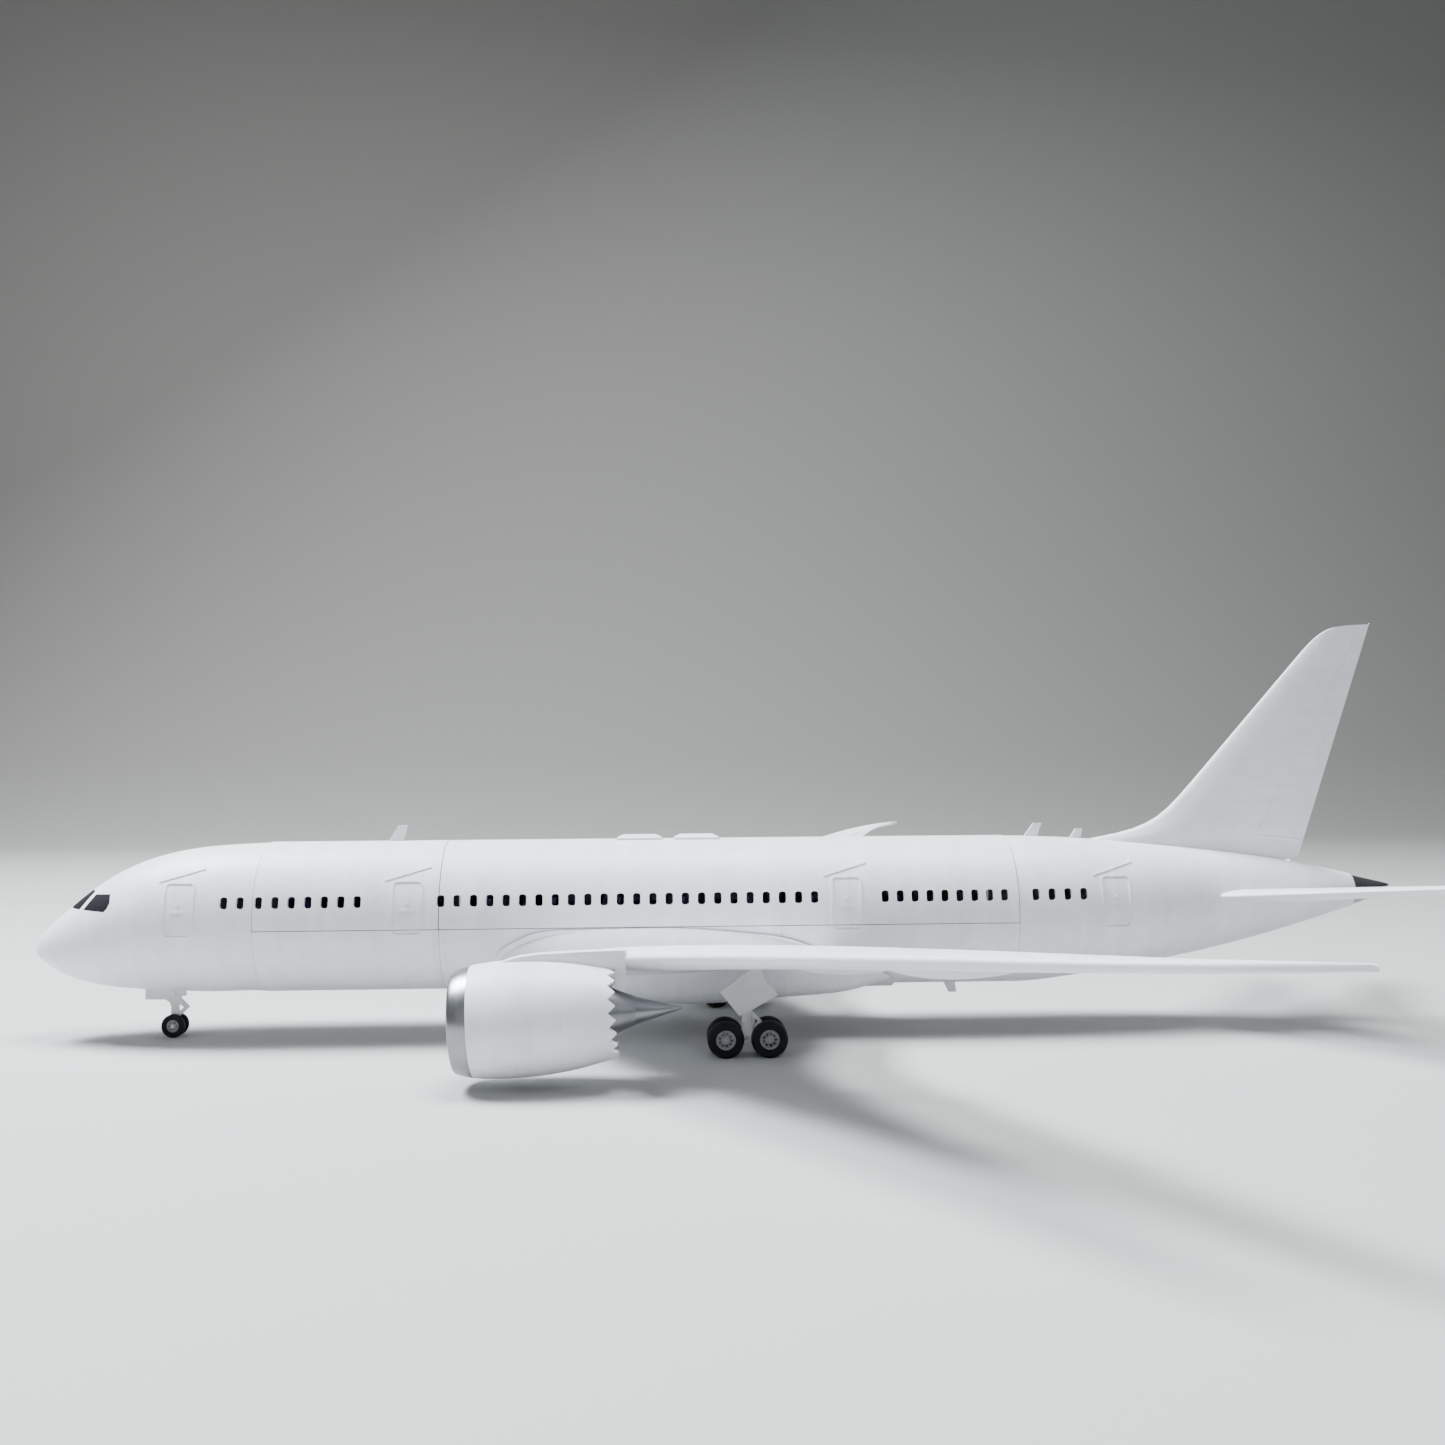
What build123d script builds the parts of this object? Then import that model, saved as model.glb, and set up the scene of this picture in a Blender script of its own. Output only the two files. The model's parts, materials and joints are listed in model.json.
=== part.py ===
from build123d import *
import math
import os

os.makedirs("parts", exist_ok=True)

# A desktop model of a twin-engined airliner, printed in pieces. Millimetres.
# Stations run aft from the tip of the nose, +Y is to starboard and +Z is up from
# the surface that the wheels stand on. keep() moves every piece so that the
# origin is under the middle of the model.

# ---------------------------------------------------------------- driving dimensions
LENGTH = 563.6
HALF_SPAN = 300.6

# fuselage: an upright oval section, wall and joints
CROWN = 78.9
BELLY = 18.3
HALF_WIDTH = 28.85
WALL = 1.6
NOSE_END = 94.8
ROOF_SPLIT = 167.6
TAIL_START = 398.5
LOWER_SPLIT = 303.0
TAIL_SPLIT = 451.0
CONE_START = 546.3
TIP_HEIGHT = 36.2
NOSE_SOLID = 40.0

# seam between the lower shells and the lift-off roofs
SEAM = 45.7
GAP = 0.35
JOINT = 0.12
ROOF_PROUD = 0.3

# windows and doors
WINDOW_HEIGHT = 56.9
WINDOW_W = 3.0
WINDOW_H = 4.7
DOOR_W = 12.4
DOOR_LOW = 43.4
DOOR_HIGH = 65.2
BEAD = 0.8
RELIEF = 0.35

# wing
ROOT_Y = 29.0
ROOT_LE = 198.0
KINK_Y = 97.0
RAKE_Y = 265.0
LE_SLOPE_IN = 0.628
LE_SLOPE_OUT = 0.725
HINGE = 0.74

# engine
ENGINE_Y = 97.3
ENGINE_X = 184.0
ENGINE_Z = 22.5
ENGINE_TILT = 2.9
CHEVRONS = 20
LIP_END = 6.6
COWL_END = 56.2
NOZZLE_END = 62.7

# landing gear
TYRE_R = 6.9
TYRE_W = 4.0
HUB_R = 3.7
MAIN_Y = 52.3
MAIN_X = 287.5
AXLE_STEP = 8.25
WHEEL_Y = 4.3
AXLE_R = 0.9
NOSE_X = 55.7
NOSE_TYRE_R = 4.7
NOSE_TYRE_W = 2.2
NOSE_HUB_R = 2.55
NOSE_WHEEL_Y = 2.3
NOSE_AXLE_R = 0.72
RUN = 0.05


def keep(name, *shapes):
    """Write one node, moved into the model's own frame."""
    moved = [Pos(-LENGTH / 2, 0, 0) * solid for shape in shapes for solid in shape.solids()]
    whole = moved[0] if len(moved) == 1 else Compound(children=moved)
    export_step(whole, f"parts/{name}.step")


def biggest(shape):
    """The largest solid of a cut shape, without the offcuts."""
    return shape.solids().sort_by(SortBy.VOLUME)[-1]


def starboard(shape):
    return mirror(shape, about=Plane.XZ)


# ---------------------------------------------------------------- fuselage profiles
NOSE_TOP = Spline((0, TIP_HEIGHT), (5, 44.7), (13, 52.1), (29, 64.4), (50, 73.9), (74, 77.9),
                  (NOSE_END, CROWN), tangents=[(0, 1), (1, 0)], tangent_scalars=[0.8, 1])
NOSE_LOW = Spline((0, TIP_HEIGHT), (4.5, 31.0), (10, 27.4), (19, 23.7), (43.5, 19.9), (NOSE_END, BELLY),
                  tangents=[(0, -1), (1, 0)], tangent_scalars=[0.8, 1])
NOSE_SIDE = Spline((0, 0), (5, 8.2), (13, 13.4), (29, 20.8), (50, 26.2), (74, 28.3),
                   (NOSE_END, HALF_WIDTH), tangents=[(0, 1), (1, 0)], tangent_scalars=[0.8, 1])
TAIL_TOP = Spline((TAIL_START, CROWN), (438, 77.2), (481, 73.2), (521, 67.2), (CONE_START, 61.8),
                  tangents=[(1, 0), (1, -0.23)])
TAIL_LOW = Spline((TAIL_START, BELLY), (431, 21.4), (480.5, 30.1), (521, 40.2), (CONE_START, 47.9),
                  tangents=[(1, 0), (1, 0.31)])
TAIL_SIDE = Spline((TAIL_START, HALF_WIDTH), (440, 26.6), (481, 20.4), (521, 12.2), (CONE_START, 6.6),
                   tangents=[(1, 0), (1, -0.25)])
NOSE_STATIONS = [0.5, 2, 5, 10, 18, 29, 42, 57, 75, NOSE_END]
TAIL_STATIONS = [TAIL_START, 420, 445, 470, 495, 520, 536, CONE_START]


def height_at(curve, x):
    """Second coordinate of a profile where its first is x, by bisection."""
    low, high = 0.0, 1.0
    for _ in range(40):
        middle = (low + high) / 2
        if (curve @ middle).X < x:
            low = middle
        else:
            high = middle
    return (curve @ low).Y


def oval(x, top, low, half_width):
    plane = Plane(origin=(x, 0, (top + low) / 2), x_dir=(0, 1, 0), z_dir=(1, 0, 0))
    return plane * Ellipse(half_width, (top - low) / 2)


def nose_solid(offset=0.0, start=None):
    """The nose's outside grown by offset; an inner one starts at a station."""
    stations = NOSE_STATIONS if start is None else [s for s in NOSE_STATIONS if s >= start]
    sections = []
    for x in stations:
        top = height_at(NOSE_TOP, x) + offset
        low = height_at(NOSE_LOW, x) - offset
        sections.append(oval(x, top, low, height_at(NOSE_SIDE, x) + offset))
    if start is None:
        sections.insert(0, Vertex(-offset, 0, TIP_HEIGHT))
    return loft(sections)


def tail_solid(offset=0.0):
    sections = []
    for x in TAIL_STATIONS:
        top = height_at(TAIL_TOP, x) + offset
        low = height_at(TAIL_LOW, x) - offset
        sections.append(oval(x, top, low, height_at(TAIL_SIDE, x) + offset))
    return loft(sections)


def barrel(start, end, offset=0.0):
    """The straight part of the fuselage as a solid oval bar."""
    return extrude(oval(start, CROWN + offset, BELLY - offset, HALF_WIDTH + offset), amount=end - start)


def block(x0, x1, y0, y1, z0, z1):
    return Pos((x0 + x1) / 2, (y0 + y1) / 2, (z0 + z1) / 2) * Box(x1 - x0, y1 - y0, z1 - z0)


def side_prism(face, half=60):
    """A face drawn in side view (x, z), made into a bar right across the model."""
    return extrude(Plane.XZ * face, amount=half, both=True)


# ---------------------------------------------------------------- windows and doors
WINDOW_ROWS = {
    "nose": (83.7, 6.4, 2),
    "forward": (97.3, 6.4, 7),
    "main": (168.3, 6.43, 24),
    "aft": (344.5, 6.0, 9),
    "tail": (405.3, 6.53, 4),
}


def window_cutters(row):
    first, pitch, count = WINDOW_ROWS[row]
    slot = RectangleRounded(WINDOW_W, WINDOW_H, 1.1)
    return [side_prism(Pos(first + i * pitch, WINDOW_HEIGHT) * slot) for i in range(count)]


def door_bars(x, low=DOOR_LOW, high=DOOR_HIGH):
    """Outline, handle and rain gutter of one door, as bars across the model."""
    middle = (low + high) / 2
    outer = RectangleRounded(DOOR_W, high - low, 2.2)
    inner = RectangleRounded(DOOR_W - 2 * BEAD, high - low - 2 * BEAD, 2.2 - BEAD)
    outline = Pos(x, middle) * (outer - inner)
    knob = Pos(x, middle + 2.2) * Circle(0.65)
    handle = Pos(x, middle - 0.6) * Rectangle(5.2, 0.5)
    gutter = Pos(x - 0.2, high + 2.5) * Rot(0, 0, 15.5) * Rectangle(18.4, 0.6)
    return [side_prism(face) for face in (outline, knob, handle, gutter)]


def with_relief(body, skin, bars):
    """Raise the bars from the body as far as the skin, a grown copy of it."""
    for bar in bars:
        body = body + (skin & bar)
    return body


def below(shape, z):
    return shape & block(-10, LENGTH + 10, -60, 60, -10, z)


def above(shape, z):
    return shape & block(-10, LENGTH + 10, -60, 60, z, 120)


# ---------------------------------------------------------------- nose
SIDE_PANE = [(24.6, 53.7), (28.9, 59.7), (36.3, 60.1), (37.0, 56.7), (36.1, 54.6), (34.9, 53.3)]
FRONT_PANE = [(14.0, 54.2), (19.8, 61.9), (27.4, 60.6), (22.5, 53.7), (19.0, 53.7)]
PANE_DEPTH = 0.7


def nose_section():
    outer = nose_solid()
    body = with_relief(outer, nose_solid(RELIEF), door_bars(65.7))
    body = body - nose_solid(-WALL, start=NOSE_SOLID) - window_cutters("nose")
    glass = outer - nose_solid(-PANE_DEPTH)
    side = side_prism(make_face(Polyline(*SIDE_PANE, close=True)))
    front = side_prism(make_face(Polyline(*FRONT_PANE, close=True)))
    centre_bar = block(0, 60, -0.5, 0.5, 40, 90)
    panes = (glass & side) + (glass & (front - centre_bar))
    body = body - panes
    socket = Pos(NOSE_X, 0, 24) * Cylinder(3.4, 9)
    body = body + (socket & nose_solid(-0.3)) - nose_bore()
    return body, panes


def nose_bore():
    return Pos(NOSE_X, 0, 22) * Cylinder(1.5, 12)


# ---------------------------------------------------------------- lower shells, roofs and tail
RIM = 1.1


def lower_shell(start, end, doors=()):
    """A trough with an inner rim that locates the roof and two cross ribs."""
    outer = barrel(start, end)
    bars = [bar for x in doors for bar in door_bars(x)]
    body = with_relief(outer, barrel(start, end, RELIEF), bars)
    body = below(body - barrel(start - 1, end + 1, -WALL), SEAM)
    slack = WALL + GAP
    rim = barrel(start, end, -slack) - barrel(start - 1, end + 1, -slack - RIM)
    rim = below(above(rim, SEAM - 3), SEAM + 2.4)
    seat = barrel(start, end, -WALL + 0.02) - barrel(start - 1, end + 1, -slack - RIM)
    seat = below(above(seat, SEAM - 4.5), SEAM - 1)
    body = body + rim + seat
    for x in (start + 3, end - 3 - WALL):
        rib = below(barrel(x, x + WALL, -WALL + 0.02), SEAM - 1.4)
        body = body + (rib - Pos(x, 0, 33) * Rot(0, 90, 0) * Cylinder(9, 8))
    return body


def roof(start, end, rows, doors=()):
    """A lift-off cover: an arch with windows, standing just proud of the shells."""
    outer = barrel(start, end, ROOF_PROUD)
    bars = [bar for x in doors for bar in door_bars(x)]
    body = with_relief(outer, barrel(start, end, ROOF_PROUD + RELIEF), bars)
    body = above(body - barrel(start - 1, end + 1, -WALL), SEAM + GAP)
    cutters = [cutter for row in rows for cutter in window_cutters(row)]
    return body - cutters


def tail_parts():
    body = with_relief(tail_solid(), tail_solid(RELIEF), door_bars(438.6, 42.9, 64.3))
    inner = tail_solid(-WALL) & block(TAIL_START, CONE_START - 3, -60, 60, 0, 120)
    body = body - inner - window_cutters("tail")
    front = body & block(TAIL_START - 1, TAIL_SPLIT, -60, 60, 0, 120)
    rear = body & block(TAIL_SPLIT, CONE_START + 1, -60, 60, 0, 120)
    return front, rear


def tail_cone():
    sections = [oval(CONE_START, 61.3, 48.4, 6.2), oval(552, 59.9, 50.0, 4.8),
                oval(558.5, 58.4, 52.8, 2.8), oval(LENGTH, 57.1, 56.1, 0.5)]
    return loft(sections)


# ---------------------------------------------------------------- cabin inserts
FLOOR_TOP = SEAM + 0.2
FLOOR_THICK = 1.6
SEAT_PITCH = 8.6
SEAT_BLOCKS = (-16.6, 0.0, 16.6)
SEAT_BLOCK_W = 14.2


def seat_comb(start, end):
    """Side view of a floor with a row of seats on it."""
    points = [(start, FLOOR_TOP - FLOOR_THICK), (start, FLOOR_TOP)]
    count = int((end - start - 8) // SEAT_PITCH)
    for i in range(count):
        x = start + 5 + i * SEAT_PITCH
        points += [(x, FLOOR_TOP), (x, FLOOR_TOP + 4.2), (x + 4.2, FLOOR_TOP + 3.9),
                   (x + 5.2, FLOOR_TOP + 11.6), (x + 6.7, FLOOR_TOP + 11.6), (x + 5.8, FLOOR_TOP)]
    points += [(end, FLOOR_TOP), (end, FLOOR_TOP - FLOOR_THICK)]
    return Plane.XZ * make_face(Polyline(*points, close=True))


def cabin_insert(start, end):
    half = HALF_WIDTH - WALL - GAP - RIM - 0.6
    floor = block(start, end, -half, half, FLOOR_TOP - FLOOR_THICK, FLOOR_TOP)
    for y in SEAT_BLOCKS:
        seats = extrude(seat_comb(start, end), amount=SEAT_BLOCK_W / 2, both=True)
        floor = floor + Pos(0, y, 0) * seats
    return floor


# ---------------------------------------------------------------- wing, fairing, fin and stabilisers
AIRFOIL = (1.0, 0.8, 0.55, 0.32, 0.15, 0.05, 0.012)


def half_thickness(u, thick):
    """Half thickness of a symmetric aerofoil at a fraction of its chord."""
    curve = 1.4845 * math.sqrt(u) - 0.63 * u - 1.758 * u**2 + 1.4215 * u**3 - 0.518 * u**4
    return thick * curve + 0.25 * u


def aerofoil(lead, chord, thick, grown=0.0):
    """Side view of an aerofoil, nose at lead, about the line z = 0, grown on both faces."""
    upper = [(lead + u * chord, half_thickness(u, thick) + grown) for u in AIRFOIL]
    lower = [(x, -z) for x, z in reversed(upper)]
    rim = Spline(*upper, (lead, 0), *lower)
    return make_face([rim, Line(lower[-1], upper[0])])


def wing_lead(y):
    rake = max(0.0, y - RAKE_Y)
    inner = LE_SLOPE_IN * (min(y, KINK_Y) - ROOT_Y)
    return ROOT_LE + inner + LE_SLOPE_OUT * max(0.0, y - KINK_Y) + 0.0119 * rake**2


def wing_trail(y):
    if y < KINK_Y:
        return 315 + 0.06 * (y - ROOT_Y)
    rake = max(0.0, y - RAKE_Y)
    return 319 + 0.36 * (y - KINK_Y) + 0.0088 * rake**2


def wing_height(y):
    out = y - ROOT_Y
    return 32 + 0.193 * out - 0.000366 * out**2 + 0.00000061 * out**3


def wing_thickness(y):
    out = (y - ROOT_Y) / (HALF_SPAN - ROOT_Y)
    return 1.5 + 8.5 * (1 - out) ** 0.67


WING_STATIONS = (22, 60, 97, 140, 190, 235, 265, 280, 292, HALF_SPAN)
FLAP_ENDS = (36, 97, 205, 262)
TRACK_PODS = (115, 180)
LINE_W = 0.6
LINE_RELIEF = 0.25


def wing_solid(grown=0.0):
    """The port wing, from inside the fuselage side to its raked tip."""
    sections = []
    for y in WING_STATIONS:
        lead = wing_lead(y)
        face = aerofoil(lead, wing_trail(y) - lead, wing_thickness(y), grown)
        plane = Plane(origin=(0, -y, wing_height(y)), x_dir=(1, 0, 0), z_dir=(0, -1, 0))
        sections.append(plane * face)
    return loft(sections)


def hinge_strip(stations, lead, trail):
    """A narrow upright bar along the hinge line of a port surface."""
    points = [(lead(y) + HINGE * (trail(y) - lead(y)), -y) for y in stations]
    aft = [(x + LINE_W, y) for x, y in reversed(points)]
    return extrude(make_face(Polyline(*points, *aft, close=True)), amount=120)


def chord_strip(y, lead, trail):
    """A narrow upright bar from the hinge line to the trailing edge."""
    start = lead(y) + HINGE * (trail(y) - lead(y))
    return block(start, trail(y) - 0.8, -y - LINE_W / 2, -y + LINE_W / 2, 0, 120)


def track_pod(y):
    """The teardrop fairing of a flap track, under the trailing edge."""
    x = wing_trail(y) - 7
    z = wing_height(y) - 3.1
    sections = [Vertex(x - 23, -y, z + 1)]
    for dx, half_width, half_height in ((-12, 2.2, 2.4), (0, 2.9, 3.2), (12, 2.0, 2.2)):
        plane = Plane(origin=(x + dx, -y, z), x_dir=(0, 1, 0), z_dir=(1, 0, 0))
        sections.append(plane * Ellipse(half_width, half_height))
    sections.append(Vertex(x + 23, -y, z + 0.6))
    return loft(sections)


def whole_wing():
    """The wing with the raised outlines of its flaps and aileron, and its track pods."""
    bars = [hinge_strip((36, 97, 150, 205, 262), wing_lead, wing_trail)]
    bars += [chord_strip(y, wing_lead, wing_trail) for y in FLAP_ENDS]
    body = with_relief(wing_solid(), wing_solid(LINE_RELIEF), bars)
    for y in TRACK_PODS:
        body = body + track_pod(y)
    return body


def fairing_section(x, half_width, low, top, corner):
    plane = Plane(origin=(x, 0, (low + top) / 2), x_dir=(0, 1, 0), z_dir=(1, 0, 0))
    return plane * RectangleRounded(2 * half_width, top - low, corner)


FAIRING_STEP = 1.2
FAIRING_TOP = SEAM - 0.2


def fairing_solid():
    """The belly fairing and the wing roots' collar, with a crisp edge on the fuselage side."""
    belly = loft([
        fairing_section(180, 12, 21, 35, 4),
        fairing_section(192, 27.0, 20.5, 43, 8),
        fairing_section(205, 30.5, 20, 47.5, 11),
        fairing_section(225, 32.4, 19, 49.5, 12),
        fairing_section(255, 33.0, 14.8, 49.8, 13),
        fairing_section(285, 32.6, 14.8, 48, 13),
        fairing_section(310, 30.5, 16.4, 43.5, 12),
        fairing_section(335, 25.0, 18.8, 38, 9),
        fairing_section(358, 12, 21, 31, 4),
    ])
    collar = barrel(185, 356, FAIRING_STEP)
    edge = Spline((190.2, 34.5), (195.9, 39.9), (203.7, 43.5), (215.4, 45.1), (238.9, FAIRING_TOP),
                  (262.6, FAIRING_TOP - 0.1), (294.1, 42.6), (311.1, 38.9), (334, 31), (350, 22),
                  tangents=[(0.3, 1), (1, -0.7)])
    rest = Polyline((350, 22), (350, 0), (204, 0), (204, 17), (193.5, 26), (190.2, 34.5))
    return (belly + collar) & side_prism(make_face([edge, rest]))


def belly_fairing(solid):
    body = solid - barrel(150, 380)
    for side in (-1, 1):
        well = Pos(290, side * 32, 16) * Box(18, 30, 12)
        body = body - well
    return body


FIN_ROOT = 66.0
FIN_TOP = 168.0
FIN_LEVELS = (FIN_ROOT, 74, 76.5, 78, 79.6, 81.4, 83.6, 86.5, 90, 95, 102, FIN_TOP)


def fin_lead(z):
    """The leading edge: straight above, sweeping forward as a ridge near the fuselage."""
    ridge = 23.1 * math.exp(-(max(z, 77.0) - 77.6) / 3.8)
    return 474.6 + (z - 95.4) * 0.878 - ridge


def fin_trail(z):
    return 525.0 + (z - 69.6) * 0.329


def fin_solid(grown=0.0):
    sections = []
    for z in FIN_LEVELS:
        lead = fin_lead(z)
        thick = 7.4 - 5.2 * (z - FIN_ROOT) / (FIN_TOP - FIN_ROOT)
        face = aerofoil(lead, fin_trail(z) - lead, thick, grown)
        sections.append(Plane(origin=(0, 0, z), x_dir=(1, 0, 0), z_dir=(0, 0, 1)) * face)
    return loft(sections, ruled=True)


def side_line(start, end):
    """A narrow bar right across the fin, along a line in side view."""
    (x0, z0), (x1, z1) = start, end
    turn = math.degrees(math.atan2(z1 - z0, x1 - x0))
    strip = Rot(0, 0, turn) * Rectangle(math.dist(start, end), LINE_W)
    return side_prism(Pos((x0 + x1) / 2, (z0 + z1) / 2) * strip, 12)


RUDDER_LINES = [((507.1, 80.0), (549.9, 163.0)), ((522.2, 76.4), (551.4, 162.6)),
                ((549.7, 163.1), (553.4, 163.1)), ((508.3, 78.0), (526.4, 75.9))]


def fin():
    bars = [side_line(start, end) for start, end in RUDDER_LINES]
    body = with_relief(fin_solid(), fin_solid(LINE_RELIEF), bars)
    tip = Spline((515, 141.4), (527.3, 155.4), (538.3, 164.7), (557.2, 167.5),
                 tangents=[(1, 1.14), (1, 0.06)])
    outline = make_face([tip, Polyline((557.2, 167.5), (565, 190), (600, 167), (525, 69.6),
                                       (517.5, 67.2), (517.5, 60), (420, 60), (420, 120), (515, 141.4))])
    return biggest((body & side_prism(outline)) - tail_solid())


def stabiliser_lead(y):
    return 476.8 + 0.8 * (y - 12)


def stabiliser_trail(y):
    return 536.7 + 0.291 * (y - 12)


def stabiliser_solid(grown=0.0):
    sections = []
    for y, thick in ((12, 6.2), (99, 2.2)):
        lead = stabiliser_lead(y)
        height = 54.4 + 0.132 * (y - 20)
        plane = Plane(origin=(0, -y, height), x_dir=(1, 0, 0), z_dir=(0, -1, 0))
        sections.append(plane * aerofoil(lead, stabiliser_trail(y) - lead, thick, grown))
    return loft(sections, ruled=True)


def stabiliser():
    """The port stabiliser with the raised outline of its elevator."""
    bars = [hinge_strip((22, 91), stabiliser_lead, stabiliser_trail)]
    bars += [chord_strip(y, stabiliser_lead, stabiliser_trail) for y in (22, 91)]
    return with_relief(stabiliser_solid(), stabiliser_solid(LINE_RELIEF), bars) - tail_solid()


# ---------------------------------------------------------------- engines
CORE_R = 8.6
FAN_R = 14.2
PIN_R = 1.0


def turned(*profile):
    """A solid of revolution about the engine's own +X axis, from (station, radius) edges."""
    return revolve(make_face([*profile]), axis=Axis.X)


def inlet_lip():
    outer = Spline((0, 16.3), (1.0, 17.5), (LIP_END, 19.0), tangents=[(0, 1), (1, 0.17)])
    inner = Spline((LIP_END, 14.6), (1.6, 15.0), (0, 16.3), tangents=[(-1, 0), (0, 1)])
    return turned(outer, Line((LIP_END, 19.0), (LIP_END, 14.6)), inner)


def cowl_curve():
    return Spline((LIP_END, 19.0), (23, 19.95), (40, 18.6), (COWL_END, 15.2),
                  tangents=[(1, 0.15), (1, -0.24)])


def nacelle_cowl():
    outer = cowl_curve()
    inner = Spline((COWL_END, 14.1), (38, 15.4), (20, 14.9), (LIP_END, 14.6),
                   tangents=[(-1, 0.1), (-1, 0)])
    back_edge = Line((COWL_END, 15.2), (COWL_END, 14.1))
    body = turned(outer, back_edge, inner, Line((LIP_END, 14.6), (LIP_END, 19.0)))
    notch = [(COWL_END + 0.2, -2.4), (COWL_END + 0.2, 2.4), (COWL_END - 2.5, 0)]
    tooth = make_face(Polyline(*notch, close=True))
    cutter = Pos(0, 0, 10) * extrude(tooth, amount=10)
    for i in range(CHEVRONS):
        body = body - Rot((i + 0.5) * 360 / CHEVRONS, 0, 0) * cutter
    return body


def core_nozzle():
    outer = Spline((20, 7.0), (30, CORE_R), (44, 9.6), (54.4, 8.5), tangents=[(1, 0.3), (1, -0.43)])
    cone = Line((54.4, 8.5), (NOZZLE_END, 4.95))
    body = turned(Line((20, 0), (20, 7.0)), outer, cone, Line((NOZZLE_END, 4.95), (NOZZLE_END, 0)),
                  Line((NOZZLE_END, 0), (20, 0)))
    vane = Pos(27, 0, 11.5) * Box(9, 1.2, 9)
    duct = Rot(0, 90, 0) * Pos(0, 0, 27) * Cylinder(14.95, 12)
    for i in range(8):
        body = body + (Rot((i + 0.5) * 45, 0, 0) * vane & duct)
    body = body - Pos(23, 0, 0) * Rot(0, 90, 0) * Cylinder(PIN_R, 6.01)
    return body - Pos(NOZZLE_END - 2, 0, 0) * Rot(0, 90, 0) * Cylinder(2.0, 4.01)


def exhaust_plug():
    end = NOZZLE_END + 16
    cone = turned(Line((NOZZLE_END, 0), (NOZZLE_END, 4.8)), Line((NOZZLE_END, 4.8), (end, 0.3)),
                  Line((end, 0.3), (end, 0)), Line((end, 0), (NOZZLE_END, 0)))
    return cone + Pos(NOZZLE_END - 1.5, 0, 0) * Rot(0, 90, 0) * Cylinder(2.0, 3)


def fan():
    nose = Spline((7.5, 0), (10, 2.9), (14, 4.6), tangents=[(0.2, 1), (1, 0.25)])
    hub = turned(nose, Line((14, 4.6), (18.4, 4.9)), Line((18.4, 4.9), (18.4, 0)), Line((18.4, 0), (7.5, 0)))
    blade = Pos(16, 0, 9.2) * Rot(0, 0, 32) * Box(4.6, 0.8, 2 * (FAN_R - 9.3))
    disc = Rot(0, 90, 0) * Pos(0, 0, 16) * Cylinder(FAN_R, 6)
    for i in range(18):
        hub = hub + (Rot(i * 20, 0, 0) * blade & disc)
    return hub - Pos(15.7, 0, 0) * Rot(0, 90, 0) * Cylinder(PIN_R + RUN, 5.41)


def fan_axle():
    return Pos(19.75, 0, 0) * Rot(0, 90, 0) * Cylinder(PIN_R, 12.5)


def in_engine_place(shape, side):
    """From the engine's own frame to its place under a wing; side is -1 for port."""
    return Pos(ENGINE_X, side * ENGINE_Y, ENGINE_Z) * Rot(0, -ENGINE_TILT, 0) * shape


def pylon(wing):
    """The port pylon, cut to sit on the cowl and under the wing."""
    outline = Polyline((193, 38), (197.5, 41.8), (202, 43.7), (206, 44.9), (213, 45.8), (228, 46.5),
                       (243.2, 46.9), (243.2, 33.6), (228, 33), (205, 34), close=True)
    body = Pos(0, -ENGINE_Y, 0) * extrude(Plane.XZ * make_face(outline), amount=2.6, both=True)
    full = turned(cowl_curve(), Line((COWL_END, 15.2), (COWL_END, 0)), Line((COWL_END, 0), (LIP_END, 0)),
                  Line((LIP_END, 0), (LIP_END, 19.0)))
    nozzle = turned(Line((50, 0), (50, 10)), Line((50, 10), (82, 0.5)), Line((82, 0.5), (82, 0)),
                    Line((82, 0), (50, 0)))
    return body - in_engine_place(full, -1) - in_engine_place(nozzle, -1) - wing


# ---------------------------------------------------------------- landing gear
def rod_y(x, y0, y1, z, radius):
    return Pos(x, (y0 + y1) / 2, z) * Rot(90, 0, 0) * Cylinder(radius, abs(y1 - y0))


def tyre(x, y, z, radius, width, hub):
    ring = rod_y(x, y - width / 2, y + width / 2, z, radius)
    ring = fillet(ring.edges().filter_by(GeomType.CIRCLE), width * 0.27)
    return ring - rod_y(x, y - width, y + width, z, hub)


def hub(x, y, z, radius, width, holes, bore):
    """A wheel hub, dished on both faces and drilled right round."""
    body = rod_y(x, y - width / 2, y + width / 2, z, radius)
    depth = 0.22 * width
    for face_side in (-1, 1):
        face_y = y + face_side * width / 2
        body = body - rod_y(x, face_y - depth, face_y + depth, z, radius * 0.82)
    for i in range(holes):
        angle = math.radians(i * 360 / holes)
        hole_x = x + radius * 0.6 * math.cos(angle)
        hole_z = z + radius * 0.6 * math.sin(angle)
        body = body - rod_y(hole_x, y - width, y + width, hole_z, radius * 0.14)
    boss = rod_y(x, y - width / 2, y + width / 2, z, bore + 0.55)
    return body + boss - rod_y(x, y - width, y + width, z, bore)


def wheel_set(x, y, z, spacing, radius, width, hub_radius, holes, axle_radius):
    """Axle, two hubs and two tyres that turn together."""
    axle = rod_y(x, y - spacing - width / 2, y + spacing + width / 2, z, axle_radius)
    hubs = [hub(x, y + s * spacing, z, hub_radius, width - 0.8, holes, axle_radius) for s in (-1, 1)]
    tyres = [tyre(x, y + s * spacing, z, radius, width, hub_radius) for s in (-1, 1)]
    return axle, hubs, tyres


STRUT_TOP = 46.0
BEAM_R = 1.15
FORK_W = 4.0
FORK_SLOT = 2.7


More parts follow.
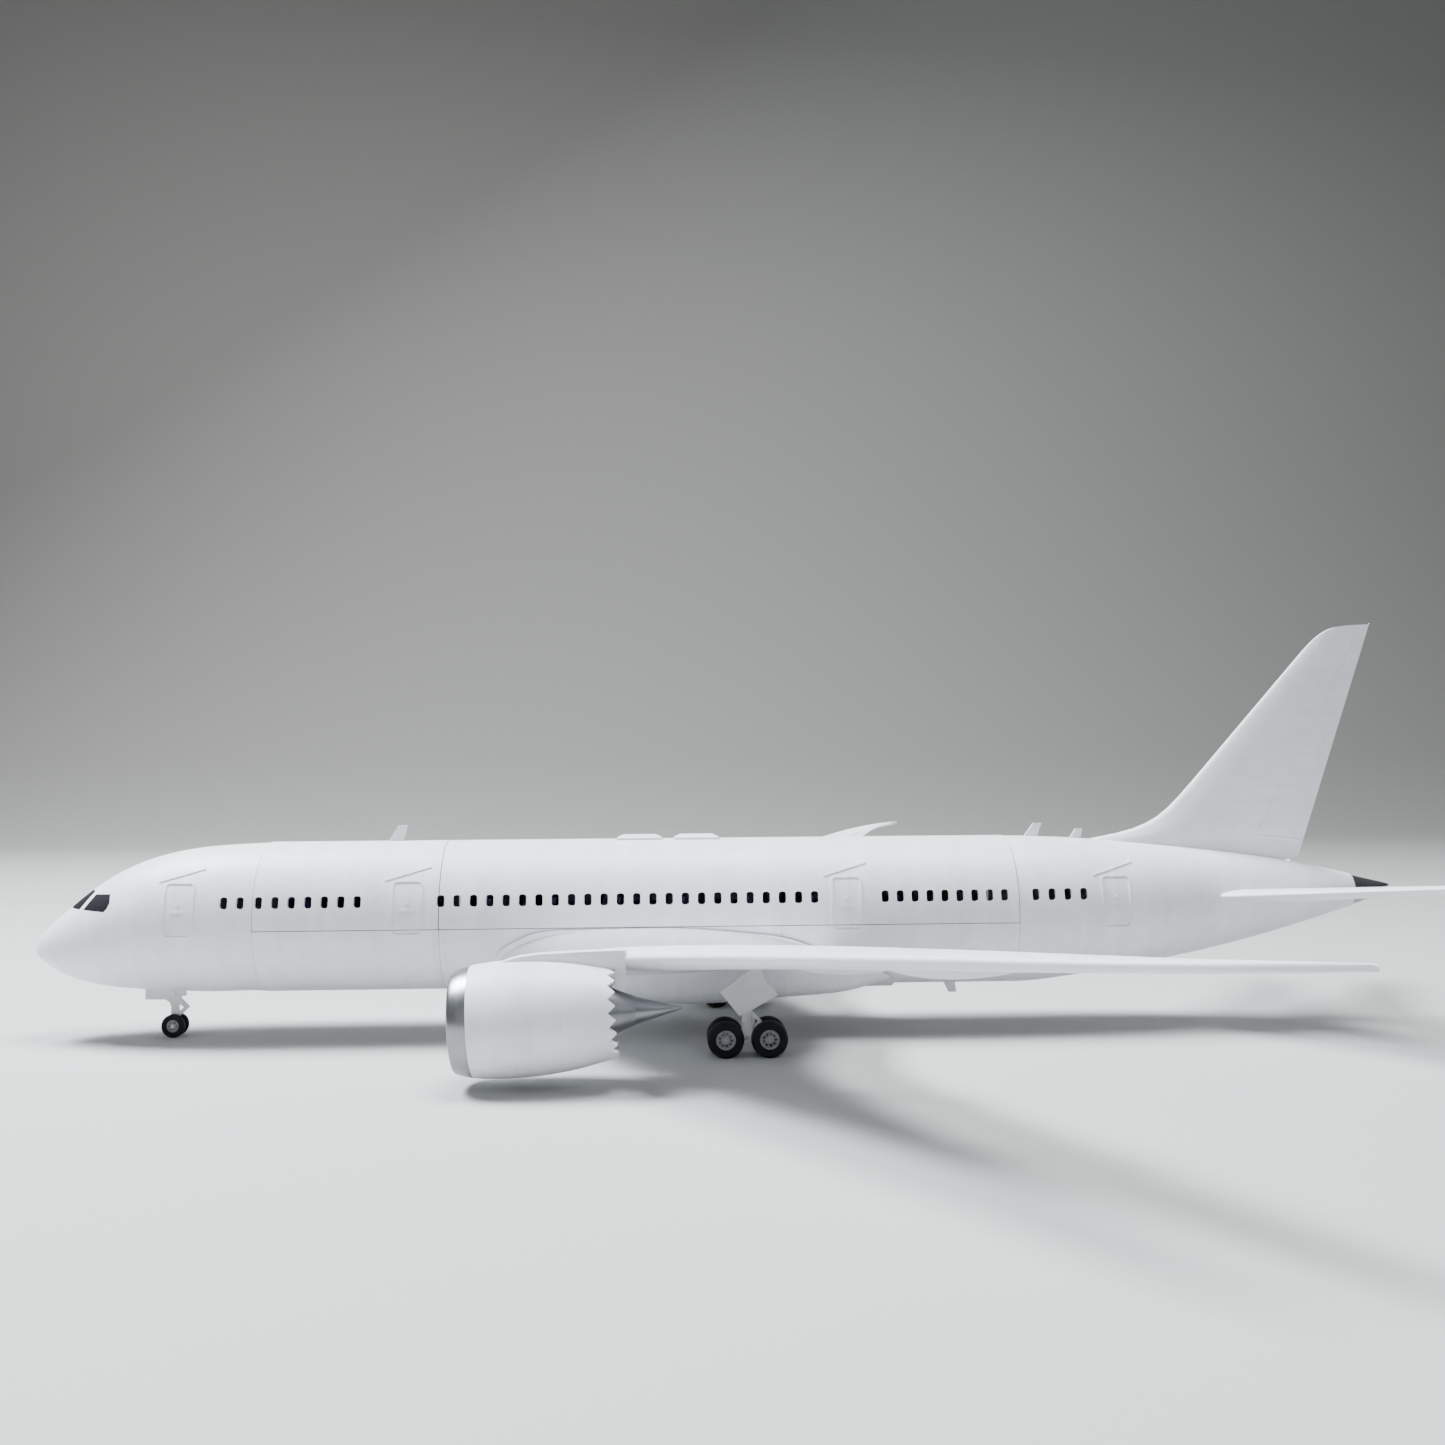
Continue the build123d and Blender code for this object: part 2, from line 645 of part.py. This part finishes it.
def main_strut(wing, fairing):
    """The port strut: a leg with a fork that holds the bogie beam's pin."""
    leg = Pos(MAIN_X, -MAIN_Y, (STRUT_TOP + 11) / 2) * Cylinder(1.9, STRUT_TOP - 11)
    fork = Pos(MAIN_X, -MAIN_Y, 9.0) * Box(4.0, FORK_W, 7.4)
    slot = Pos(MAIN_X, -MAIN_Y, 7.3) * Box(4.4, FORK_SLOT, 7.0)
    body = leg + fork - slot
    body = body - rod_y(MAIN_X, -MAIN_Y - 5, -MAIN_Y + 5, TYRE_R, AXLE_R)
    return biggest(body - wing - fairing)


def main_door(wing):
    """The plate on the outside of the port strut."""
    outline = Polyline((288.8, 33), (289.2, 35.6), (291.8, 35.6), (292.4, 33), (295.2, 27.1), (296.5, 26.6),
                       (299.0, 23.2), (287.4, 16.6), (284.4, 15.5), (277.3, 24.4), close=True)
    plate = extrude(Plane.XZ * make_face(outline), amount=0.7, both=True)
    return Pos(0, -MAIN_Y - 2.6, 0) * plate - wing


def main_torque_link():
    """A flat scissor link whose straight edge stands on the back of the fork."""
    back = MAIN_X + 2.0
    outer = Polyline((back, 16.8), (back + 3.6, 12.9), (back, 9.2), close=True)
    inner = Polyline((back + 0.8, 14.3), (back + 2.1, 12.9), (back + 0.8, 11.4), close=True)
    face = make_face(outer) - make_face(inner)
    return Pos(0, -MAIN_Y, 0) * extrude(Plane.XZ * face, amount=0.6, both=True)


def bogie_beam():
    """The port bogie beam, bored for its pin and for two axles."""
    bar = Pos(MAIN_X, -MAIN_Y, TYRE_R) * Rot(0, 90, 0) * Cylinder(BEAM_R, 2 * AXLE_STEP)
    for x, half in ((MAIN_X - AXLE_STEP, 1.3), (MAIN_X, 1.0), (MAIN_X + AXLE_STEP, 1.3)):
        bar = bar + rod_y(x, -MAIN_Y - half, -MAIN_Y + half, TYRE_R, 1.8)
    for x in (MAIN_X - AXLE_STEP, MAIN_X, MAIN_X + AXLE_STEP):
        bar = bar - rod_y(x, -MAIN_Y - 5, -MAIN_Y + 5, TYRE_R, AXLE_R + RUN)
    return bar


def bogie_pin():
    return rod_y(MAIN_X, -MAIN_Y - 2.0, -MAIN_Y + 2.0, TYRE_R, AXLE_R)


def nose_leg():
    """Leg, door plate and torque link in one print, with a peg into the nose."""
    plate = Polyline((43.9, 21), (43.9, 15.3), (51.9, 15.2), (53.6, 14.2), (54.3, 12.4), (54.3, 4),
                     (57.1, 4), (57.1, 8.2), (58.8, 9.4), (61.4, 12.0), (57.4, 16.2), (60, 16.6),
                     (60, 21), close=True)
    hole = Polyline((57.2, 10.2), (57.2, 14.0), (59.4, 11.9), close=True)
    body = extrude(Plane.XZ * (make_face(plate) - make_face(hole)), amount=0.9, both=True)
    body = body - nose_solid(0.02)
    body = body + Pos(NOSE_X, 0, 22) * Cylinder(1.45, 11) + rod_y(NOSE_X, -0.95, 0.95, NOSE_TYRE_R, 1.7)
    return body - rod_y(NOSE_X, -4, 4, NOSE_TYRE_R, NOSE_AXLE_R + RUN)


# ---------------------------------------------------------------- antennas and radomes
def blade(base, top, z0, z1, thick=1.2):
    outline = Polyline((base[0], z0), (base[1], z0), (top[1], z1), (top[0], z1), close=True)
    return extrude(Plane.XZ * make_face(outline), amount=thick / 2, both=True)


def forward_antenna():
    body = blade((141.6, 148.2), (146.6, 150.2), 77.5, 85.5)
    return body - barrel(140, 160, ROOF_PROUD)


def fuselage_antennas():
    aft = [blade((406.0, 412.4), (411.6, 415.0), 76.5, 84.1),
           blade((425.4, 431.0), (429.6, 432.4), 75.5, 81.6)]
    belly = blade((372.0, 377.3), (375.0, 378.3), 20, 13.9)
    return [shape - tail_solid() for shape in aft] + [belly - barrel(370, 385)]


def roof_radomes():
    shapes = []
    for start in (236.8, 260.5):
        base = Pos(start + 9.3, 0, 77.5) * Box(18.6, 9, 6.8)
        top = chamfer(base.faces().sort_by(Axis.Z)[-1].edges(), 1.3, 2.6)
        shapes.append(top - barrel(230, 290, ROOF_PROUD))
    return shapes


# ---------------------------------------------------------------- build
def build_fuselage():
    nose, panes = nose_section()
    keep("nose_section", nose)
    keep("cockpit_glazing", panes)
    keep("forward_lower_shell", lower_shell(NOSE_END + JOINT, ROOF_SPLIT - JOINT / 2, doors=(155.0,)))
    keep("centre_lower_shell", lower_shell(ROOF_SPLIT + JOINT / 2, LOWER_SPLIT - JOINT / 2))
    keep("aft_lower_shell", lower_shell(LOWER_SPLIT + JOINT / 2, TAIL_START - JOINT, doors=(329.0,)))
    front_roof = roof(NOSE_END + GAP, ROOF_SPLIT - GAP / 2, ["forward", "main"], doors=(155.0,))
    keep("forward_roof", front_roof)
    keep("main_roof", roof(ROOF_SPLIT + GAP / 2, TAIL_START - GAP, ["main", "aft"], doors=(329.0,)))
    front, rear = tail_parts()
    keep("tail_section", front)
    keep("rear_fuselage", rear)
    keep("tail_exhaust_cone", tail_cone())
    keep("cabin_insert_forward", cabin_insert(NOSE_END + 1, ROOF_SPLIT - 0.3))
    keep("cabin_insert_main", cabin_insert(ROOF_SPLIT + 0.3, TAIL_START - 1))
    keep("fin", fin())
    left = stabiliser()
    keep("stabiliser_left", left)
    keep("stabiliser_right", starboard(left))
    keep("forward_antenna", forward_antenna())
    keep("fuselage_antennas", *fuselage_antennas())
    keep("roof_radomes", *roof_radomes())


def build_wings():
    fairing = fairing_solid()
    keep("belly_fairing", belly_fairing(fairing))
    port = biggest(whole_wing() - barrel(150, 380) - fairing)
    keep("wing_left", port)
    keep("wing_right", starboard(port))
    support = biggest(pylon(port))
    keep("pylon_left", support)
    keep("pylon_right", starboard(support))
    return port, fairing


def build_engines():
    pieces = {
        "inlet_lip": inlet_lip(),
        "nacelle_cowl": nacelle_cowl(),
        "core_nozzle": core_nozzle(),
        "exhaust_plug": exhaust_plug(),
        "fan": fan(),
    }
    for name, shape in pieces.items():
        keep(f"{name}_left", in_engine_place(shape, -1))
        keep(f"{name}_right", in_engine_place(shape, 1))
    keep("fan_axles", in_engine_place(fan_axle(), -1), in_engine_place(fan_axle(), 1))


def build_main_gear(port, fairing):
    one_side = {
        "main_strut": [main_strut(port, fairing)],
        "main_door": [main_door(port)],
        "bogie_beam": [bogie_beam()],
    }
    for place, step in (("front", -AXLE_STEP), ("rear", AXLE_STEP)):
        axle, hubs, tyres = wheel_set(MAIN_X + step, -MAIN_Y, TYRE_R, WHEEL_Y, TYRE_R, TYRE_W,
                                      HUB_R, 9, AXLE_R)
        one_side[f"{place}_axle"] = [axle]
        one_side[f"{place}_hubs"] = hubs
        one_side[f"{place}_tyres"] = tyres
    for name, shapes in one_side.items():
        keep(f"{name}_left", *shapes)
        keep(f"{name}_right", *[starboard(shape) for shape in shapes])
    keep("bogie_pins", bogie_pin(), starboard(bogie_pin()))
    keep("main_torque_links", main_torque_link(), starboard(main_torque_link()))


def build_nose_gear():
    keep("nose_leg", nose_leg())
    axle, hubs, tyres = wheel_set(NOSE_X, 0, NOSE_TYRE_R, NOSE_WHEEL_Y, NOSE_TYRE_R, NOSE_TYRE_W,
                                  NOSE_HUB_R, 6, NOSE_AXLE_R)
    keep("nose_axle", axle)
    keep("nose_hubs", *hubs)
    keep("nose_tyres", *tyres)


build_fuselage()
port_wing, port_fairing = build_wings()
build_engines()
build_main_gear(port_wing, port_fairing)
build_nose_gear()
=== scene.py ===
import json
import math

import bmesh
import bpy
from mathutils import Matrix, Vector


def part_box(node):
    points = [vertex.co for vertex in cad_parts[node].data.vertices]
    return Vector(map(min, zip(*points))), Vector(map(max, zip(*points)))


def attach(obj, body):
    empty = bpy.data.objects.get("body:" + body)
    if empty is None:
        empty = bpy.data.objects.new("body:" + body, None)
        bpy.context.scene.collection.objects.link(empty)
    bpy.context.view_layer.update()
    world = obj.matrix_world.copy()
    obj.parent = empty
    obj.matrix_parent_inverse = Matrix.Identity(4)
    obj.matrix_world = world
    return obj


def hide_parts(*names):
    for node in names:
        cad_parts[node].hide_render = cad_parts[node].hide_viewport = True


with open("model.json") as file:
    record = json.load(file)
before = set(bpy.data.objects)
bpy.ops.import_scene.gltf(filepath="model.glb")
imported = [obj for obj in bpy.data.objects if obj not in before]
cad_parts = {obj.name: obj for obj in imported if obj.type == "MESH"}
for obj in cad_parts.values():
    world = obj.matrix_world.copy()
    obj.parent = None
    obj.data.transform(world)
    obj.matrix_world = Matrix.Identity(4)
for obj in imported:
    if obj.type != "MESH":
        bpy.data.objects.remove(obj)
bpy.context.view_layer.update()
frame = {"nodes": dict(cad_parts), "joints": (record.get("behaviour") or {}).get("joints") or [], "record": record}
MM = 0.001


# ---------------------------------------------------------------- node helpers
def new_material(name):
    """A new material, its Principled shader, a function that adds nodes, and one that links."""
    material = bpy.data.materials.new(name)
    material.use_nodes = True
    tree = material.node_tree
    shader = tree.nodes["Principled BSDF"]

    def add(kind, inputs=None, **settings):
        node = tree.nodes.new(kind)
        for key, value in settings.items():
            setattr(node, key, value)
        for key, value in (inputs or {}).items():
            if isinstance(value, bpy.types.NodeSocket):
                tree.links.new(value, node.inputs[key])
            else:
                node.inputs[key].default_value = value
        return node

    return material, shader, add, tree.links.new


def stretched(add, scale):
    """Object coordinates in metres, stretched by a scale on each axis."""
    place = add("ShaderNodeTexCoord").outputs["Object"]
    return add("ShaderNodeMapping", {"Vector": place, "Scale": scale}).outputs["Vector"]


LAYER = 0.2  # mm
STREAK = 1.3  # mm
BAND = 9  # mm
LAYER_RELIEF = 0.04  # mm
ALONG_LAYERS = 0.02  # how fast the streaks change along a layer, against 1 across it
MOTTLE_SCALE = 160.0  # per metre


def printed_plastic(name, colour, layer_axis, roughness=0.42, depth=1.0, streak=0.05,
                    metallic=0.0, specular=0.5, uneven_gloss=0.06):
    """Fused-filament plastic: layer lines square to layer_axis, and uneven streaks along them."""
    material, shader, add, link = new_material(name)
    across = [1.0 if axis == layer_axis else ALONG_LAYERS for axis in "XYZ"]

    def grain(size, detail, coarse):
        """Noise drawn out along the layers, with grains of size mm across them."""
        place = stretched(add, [value / (size * MM) for value in across])
        look = {"Vector": place, "Scale": 1.0, "Detail": detail, "Roughness": coarse}
        return add("ShaderNodeTexNoise", look).outputs["Fac"]

    def total(first, second):
        return add("ShaderNodeMath", {0: first, 1: second}, operation="ADD").outputs[0]

    lines = grain(LAYER, 1.0, 0.4)
    streaks = grain(STREAK, 4.0, 0.7)
    bands = grain(BAND, 2.0, 0.5)
    even = stretched(add, (1, 1, 1))
    mottle = add("ShaderNodeTexNoise", {"Vector": even, "Scale": MOTTLE_SCALE, "Detail": 3.0})
    mixed = total(total(streaks, bands), mottle.outputs["Fac"])
    shade = add("ShaderNodeMapRange", {"Value": mixed, "From Min": 1.2, "From Max": 1.8,
                                       "To Min": 1.0 - streak, "To Max": 1.0 + streak})
    tint = add("ShaderNodeVectorMath", {0: colour, "Scale": shade.outputs[0]}, operation="SCALE")
    link(tint.outputs[0], shader.inputs["Base Color"])
    gloss = add("ShaderNodeMapRange", {"Value": streaks, "From Min": 0.3, "From Max": 0.7,
                                       "To Min": roughness - uneven_gloss,
                                       "To Max": roughness + uneven_gloss})
    link(gloss.outputs[0], shader.inputs["Roughness"])
    bump = add("ShaderNodeBump", {"Height": total(lines, streaks), "Strength": 0.5,
                                  "Distance": LAYER_RELIEF * MM * depth})
    link(bump.outputs[0], shader.inputs["Normal"])
    shader.inputs["Metallic"].default_value = metallic
    shader.inputs["Specular IOR Level"].default_value = specular
    return material


WHITE = (0.85, 0.86, 0.90)
white_rings = printed_plastic("white_rings", WHITE, "X")
white_levels = printed_plastic("white_levels", WHITE, "Z")
gear_white = printed_plastic("gear_white", (0.74, 0.735, 0.74), "Z", roughness=0.5)
# painted shade: the tail cone, core nozzles and exhaust plugs get a darker copy of the lips' silver, to stand in
# for shade
shaded_silver = printed_plastic("silver_silk_painted_shade", (0.25, 0.255, 0.27), "X", roughness=0.3, depth=0.01,
                         streak=0.06, metallic=0.9, uneven_gloss=0.02)
lip_silver = printed_plastic("silver_lip", (0.30, 0.305, 0.325), "X", roughness=0.3, depth=0.05,
                             streak=0.1, metallic=0.9, uneven_gloss=0.03)
navy = printed_plastic("cabin_navy", (0.028, 0.034, 0.125), "Z", roughness=0.55)
glazing = printed_plastic("glazing_black", (0.008, 0.008, 0.012), "Z", roughness=0.6,
                          specular=0.15)
tyre_black = printed_plastic("tyre_black", (0.009, 0.010, 0.013), "Y", roughness=0.7,
                             specular=0.25)
hub_grey = printed_plastic("hub_grey", (0.33, 0.33, 0.345), "Y", roughness=0.5)
fan_grey = printed_plastic("fan_grey", (0.10, 0.10, 0.11), "X", roughness=0.35, depth=0.3,
                           metallic=0.6)
steel = printed_plastic("steel", (0.38, 0.38, 0.4), "Y", roughness=0.3, depth=0.3, metallic=1.0)

LOOKS = {
    "white_print": white_rings,
    "white_small": white_levels,
    "gear_print": gear_white,
    "silver_print": shaded_silver,
    "fan_grey": fan_grey,
    "glazing_black": glazing,
    "cabin_navy": navy,
    "steel_pin": steel,
    "hub_grey": hub_grey,
    "tyre_black": tyre_black,
}
# nodes of white_print whose layers lie level, where the fuselage and the cowls were printed on end
LEVEL_PRINTED = ("fin", "wing_left", "wing_right", "stabiliser_left", "stabiliser_right",
                 "pylon_left", "pylon_right")


def paint(obj, material):
    """Gives every material slot of an object the same material."""
    slots = obj.data.materials
    if len(slots) == 0:
        slots.append(material)
    for i in range(len(slots)):
        slots[i] = material


for entry in frame["record"]["subparts"]:
    node = entry["node"]
    look = LOOKS[entry["material_slot"]]
    if node in LEVEL_PRINTED:
        look = white_levels
    # the inlet lips keep the lighter silver; the other silver parts carry the darker, painted-shade copy
    if node.startswith("inlet_lip"):
        look = lip_silver
    paint(frame["nodes"][node], look)


# ---------------------------------------------------------------- pieces finished in mesh
SHARP = math.radians(35)


def add_piece(name, vertices, faces, node, material):
    """A smooth-shaded mesh piece that stands for a CAD node and rides on the same body."""
    mesh = bpy.data.meshes.new(name)
    mesh.from_pydata(vertices, [], faces)
    mesh.validate()
    mesh.polygons.foreach_set("use_smooth", [True] * len(mesh.polygons))
    mesh.set_sharp_from_angle(angle=SHARP)
    piece = bpy.data.objects.new(name, mesh)
    bpy.context.scene.collection.objects.link(piece)
    piece.data.materials.append(material)
    bodies = frame["record"]["behaviour"]["bodies"]
    body = next(key for key, nodes in bodies.items() if node in nodes)
    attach(piece, body)
    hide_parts(node)


def soft_box(mesh, centre, size, edge, lean=0.0):
    """Adds a box with edges rounded over a width of edge, leaning aft by lean."""
    place = Matrix.Translation(centre) @ Matrix.Rotation(lean, 4, "Y")
    made = bmesh.ops.create_cube(mesh, size=1.0, matrix=place @ Matrix.Diagonal((*size, 1)))
    edges = {e for v in made["verts"] for e in v.link_edges}
    bmesh.ops.bevel(mesh, geom=list(edges), offset=edge, segments=2, affect="EDGES", profile=0.6)


def as_lists(mesh):
    """Vertices and faces of a bmesh, as plain lists; the bmesh is freed."""
    mesh.verts.index_update()
    vertices = [tuple(v.co) for v in mesh.verts]
    faces = [[v.index for v in f.verts] for f in mesh.faces]
    mesh.free()
    return vertices, faces


SEAT_PITCH = 8.6 * MM
SEAT_W = 4.75 * MM
SEAT_LEAN = math.radians(9)
FIRST_SEAT = 4.6 * MM  # from the deck's front end
ROWS_SHORTER = 8 * MM  # the rows' length is the deck's less this
BLOCK_STEP = 16.6 * MM
FLOOR_THICK = 1.6 * MM
RAIL_W = 9 * MM
RAIL_TALL = 0.5 * MM
RAIL_ABOVE = 0.15 * MM  # a rail's middle over the deck
RAIL_SHORTER = 2 * MM


def one_seat(tall):
    """A seat at the origin, facing forward: cushion, foot, leaning back, headrest, one armrest."""
    mesh = bmesh.new()
    soft_box(mesh, (2.4 * MM, 0, 2.9 * MM), (4.4 * MM, SEAT_W - 0.9 * MM, 1.9 * MM), 0.6 * MM)
    soft_box(mesh, (2.4 * MM, 0, 1.0 * MM), (2.2 * MM, SEAT_W - 2.0 * MM, 2.2 * MM), 0.3 * MM)
    back = tall - 3.0 * MM
    soft_box(mesh, (5.1 * MM, 0, 2.0 * MM + back / 2), (1.5 * MM, SEAT_W - 0.7 * MM, back),
             0.6 * MM, SEAT_LEAN)
    soft_box(mesh, (5.7 * MM, 0, tall - 1.4 * MM), (1.5 * MM, SEAT_W - 1.9 * MM, 2.4 * MM),
             0.6 * MM, SEAT_LEAN)
    soft_box(mesh, (3.2 * MM, SEAT_W / 2, 4.7 * MM), (3.6 * MM, 0.5 * MM, 0.6 * MM), 0.2 * MM)
    return as_lists(mesh)


def cabin(node):
    """A cabin deck with its rows of seats, three blocks of three abreast."""
    low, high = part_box(node)
    length = high.x - low.x
    middle_x = (low.x + high.x) / 2
    deck = bmesh.new()
    soft_box(deck, (middle_x, 0, low.z + FLOOR_THICK / 2), (length, high.y - low.y, FLOOR_THICK),
             0.3 * MM)
    for block in (-1, 0, 1):
        rail = (middle_x, block * BLOCK_STEP, low.z + FLOOR_THICK + RAIL_ABOVE)
        soft_box(deck, rail, (length - RAIL_SHORTER, RAIL_W, RAIL_TALL), 0.15 * MM)
    vertices, faces = as_lists(deck)
    seat_points, seat_faces = one_seat(high.z - low.z - FLOOR_THICK)
    rows = int((length - ROWS_SHORTER) // SEAT_PITCH)
    for row in range(rows):
        for block in (-1, 0, 1):
            for seat in (-1, 0, 1):
                move = Vector((low.x + FIRST_SEAT + row * SEAT_PITCH,
                               block * BLOCK_STEP + seat * SEAT_W, low.z + FLOOR_THICK))
                first = len(vertices)
                vertices += [tuple(Vector(point) + move) for point in seat_points]
                faces += [[first + index for index in face] for face in seat_faces]
    add_piece(node + "_seats", vertices, faces, node, navy)


BLADES = 18
BLADE_SPANS = 9
BLADE_ROOT_R = 4.5 * MM
BLADE_TIP_R = 14.2 * MM
BLADE_SWEEP = 0.16  # radians about the axis from root to tip
SECTION_STEPS = 6
SPINNER_R = 4.9 * MM
SPINNER_TIP = -8.5 * MM  # along the axis, from the joint
SPINNER_REAR = 2.4 * MM
RINGS = 14
SECTORS = 48


def blade_section(share):
    """A blade's closed section, as (axial, tangential) offsets; share runs from root to tip."""
    chord = (4.6 + 1.0 * math.sin(math.pi * share)) * MM
    thick = (0.85 - 0.5 * share) * MM
    twist = math.radians(28 + 32 * share)
    camber = (0.5 - 0.25 * share) * MM
    outline = [(1, step) for step in range(SECTION_STEPS + 1)]
    outline += [(-1, step) for step in range(SECTION_STEPS - 1, 0, -1)]
    points = []
    for side, step in outline:
        u = step / SECTION_STEPS
        half = thick / 2 * math.sin(math.pi * u) ** 0.6 + 0.05 * MM
        across = camber * 4 * u * (1 - u) + side * half
        along = (u - 0.5) * chord
        points.append((along * math.cos(twist) - across * math.sin(twist),
                       along * math.sin(twist) + across * math.cos(twist)))
    return points


def add_blade(vertices, faces, place, angle):
    """Adds one blade: its sections joined from root to tip, and both ends closed."""
    base = len(vertices)
    for span in range(BLADE_SPANS):
        share = span / (BLADE_SPANS - 1)
        radius = BLADE_ROOT_R + share * (BLADE_TIP_R - BLADE_ROOT_R)
        sweep = BLADE_SWEEP * share**2 + angle
        section = blade_section(share)
        for along, offset in section:
            vertices.append(place(along, radius, sweep + offset / radius))
    count = len(section)
    for span in range(BLADE_SPANS - 1):
        for k in range(count):
            a, b = base + span * count + k, base + span * count + (k + 1) % count
            faces.append((a, b, b + count, a + count))
    faces.append([base + k for k in reversed(range(count))])
    faces.append([base + (BLADE_SPANS - 1) * count + k for k in range(count)])


def add_spinner(vertices, faces, place):
    """Adds the rounded nose that the blades stand on, closed at its tip and its rear."""
    first = len(vertices)
    for ring in range(1, RINGS + 1):
        share = ring / RINGS
        radius = SPINNER_R * math.sin(share * math.pi / 2) ** 0.8
        along = SPINNER_TIP + (SPINNER_REAR - SPINNER_TIP) * share
        vertices += [place(along, radius, 2 * math.pi * k / SECTORS) for k in range(SECTORS)]
    tip = len(vertices)
    rear = tip + 1
    vertices += [place(SPINNER_TIP, 0, 0), place(SPINNER_REAR, 0, 0)]
    for ring in range(RINGS - 1):
        for k in range(SECTORS):
            a, b = first + ring * SECTORS + k, first + ring * SECTORS + (k + 1) % SECTORS
            faces.append((a, a + SECTORS, b + SECTORS, b))
    last = (RINGS - 1) * SECTORS
    for k in range(SECTORS):
        a, b = first + k, first + (k + 1) % SECTORS
        faces.append((tip, a, b))
        faces.append((rear, b + last, a + last))


def fan(side):
    """Spinner and twisted, swept blades, about the axis of the fan's own joint."""
    node = f"fan_{side}"
    joint = next(j for j in frame["joints"] if j["name"] == node + "_spin")
    axis = Vector(joint["axis"]).normalized()
    centre = Vector(joint["pos_m"])
    sideways = Vector((0, 1, 0))
    upright = axis.cross(sideways)

    def place(along, radius, angle):
        spoke = sideways * math.cos(angle) + upright * math.sin(angle)
        return tuple(centre + axis * along + spoke * radius)

    vertices, faces = [], []
    for blade in range(BLADES):
        add_blade(vertices, faces, place, 2 * math.pi * blade / BLADES)
    add_spinner(vertices, faces, place)
    add_piece(node + "_blades", vertices, faces, node, fan_grey)


for cabin_node in ("cabin_insert_forward", "cabin_insert_main"):
    cabin(cabin_node)
for engine_side in ("left", "right"):
    fan(engine_side)


# ---------------------------------------------------------------- floor, light and camera
# the stage, in metres
STAGE_NEAR = -3.0
STAGE_HALF_W = 6.0
CURVE_START = 1.2
CURVE_R = 0.8
WALL_TOP = 4.0
CURVE_STEPS = 16


def stage_mesh():
    """A pale floor that curves up into a grey backdrop, as a profile swept along X."""
    profile = [(STAGE_NEAR, 0.0), (CURVE_START, 0.0)]
    for i in range(1, CURVE_STEPS + 1):
        angle = math.radians(90 * i / CURVE_STEPS)
        profile.append((CURVE_START + CURVE_R * math.sin(angle), CURVE_R * (1 - math.cos(angle))))
    profile.append((CURVE_START + CURVE_R, WALL_TOP))
    vertices = [(x, y, z) for y, z in profile for x in (-STAGE_HALF_W, STAGE_HALF_W)]
    faces = [(2 * i, 2 * i + 1, 2 * i + 3, 2 * i + 2) for i in range(len(profile) - 1)]
    mesh = bpy.data.meshes.new("floor")
    mesh.from_pydata(vertices, [], faces)
    mesh.polygons.foreach_set("use_smooth", [True] * len(mesh.polygons))
    return mesh


def stage_material():
    """Matt, pale under the model and greyer with the distance behind it."""
    material, shader, add, link = new_material("floor_pale")
    place = add("ShaderNodeTexCoord").outputs["Object"]
    parts = add("ShaderNodeSeparateXYZ", {"Vector": place})
    back = add("ShaderNodeMapRange",
               {"Value": parts.outputs["Y"], "From Min": 0.2, "From Max": 1.6})
    ramp = add("ShaderNodeValToRGB", {"Fac": back.outputs[0]})
    near, far = ramp.color_ramp.elements
    near.color = (0.53, 0.535, 0.525, 1)
    far.color = (0.30, 0.30, 0.285, 1)
    link(ramp.outputs["Color"], shader.inputs["Base Color"])
    shader.inputs["Roughness"].default_value = 0.8
    shader.inputs["Specular IOR Level"].default_value = 0.2
    return material


floor = bpy.data.objects.new("floor", stage_mesh())
bpy.context.scene.collection.objects.link(floor)
floor.data.materials.append(stage_material())


def soft_light(name, place, aim, size, power, colour=(1, 1, 1)):
    """A rectangular area light at a place, turned to its aim; metres and watts."""
    lamp = bpy.data.lights.new(name, "AREA")
    lamp.shape = "RECTANGLE"
    lamp.size, lamp.size_y = size
    lamp.energy = power
    lamp.color = colour
    obj = bpy.data.objects.new(name, lamp)
    bpy.context.scene.collection.objects.link(obj)
    obj.location = place
    obj.rotation_euler = (Vector(aim) - Vector(place)).to_track_quat("-Z", "Y").to_euler()


soft_light("window", (-0.8, 0.2, 1.25), (0, -0.05, 0.05), (0.6, 0.45), 66, (0.90, 0.95, 1.0))
soft_light("ceiling", (0.15, 0.0, 1.6), (0.05, -0.1, 0), (0.8, 0.6), 42, (0.95, 0.97, 1.0))
soft_light("room", (-0.5, -1.9, 0.75), (0, 0, 0.06), (1.8, 1.0), 3, (0.97, 0.97, 1.0))
soft_light("wall_wash", (-0.9, 0.6, 0.7), (-0.5, 2.0, 0.8), (0.8, 0.5), 7)

world = bpy.data.worlds.new("soft_room")
world.use_nodes = True
background = world.node_tree.nodes["Background"]
background.inputs["Color"].default_value = (0.75, 0.8, 0.86, 1)
background.inputs["Strength"].default_value = 0.1
bpy.context.scene.world = world


def make_camera():
    """The photograph's view: from port, 0.11 m over the floor, looking very slightly up."""
    place = (-0.0234, -0.5803, 0.1145)
    yaw, pitch, roll = 0.039, 0.022, -0.007  # radians
    forward = Vector((math.sin(yaw) * math.cos(pitch), math.cos(yaw) * math.cos(pitch),
                      math.sin(pitch)))
    level = Vector((math.cos(yaw), -math.sin(yaw), 0))
    upright = level.cross(forward)
    right = level * math.cos(roll) + upright * math.sin(roll)
    up = upright * math.cos(roll) - level * math.sin(roll)
    data = bpy.data.cameras.new("camera")
    data.sensor_width = 36
    data.lens = 34.6
    data.clip_start = 0.01
    camera = bpy.data.objects.new("camera", data)
    bpy.context.scene.collection.objects.link(camera)
    turn = Matrix((right, up, -forward)).transposed().to_4x4()
    camera.matrix_world = Matrix.Translation(place) @ turn
    bpy.context.scene.camera = camera


make_camera()
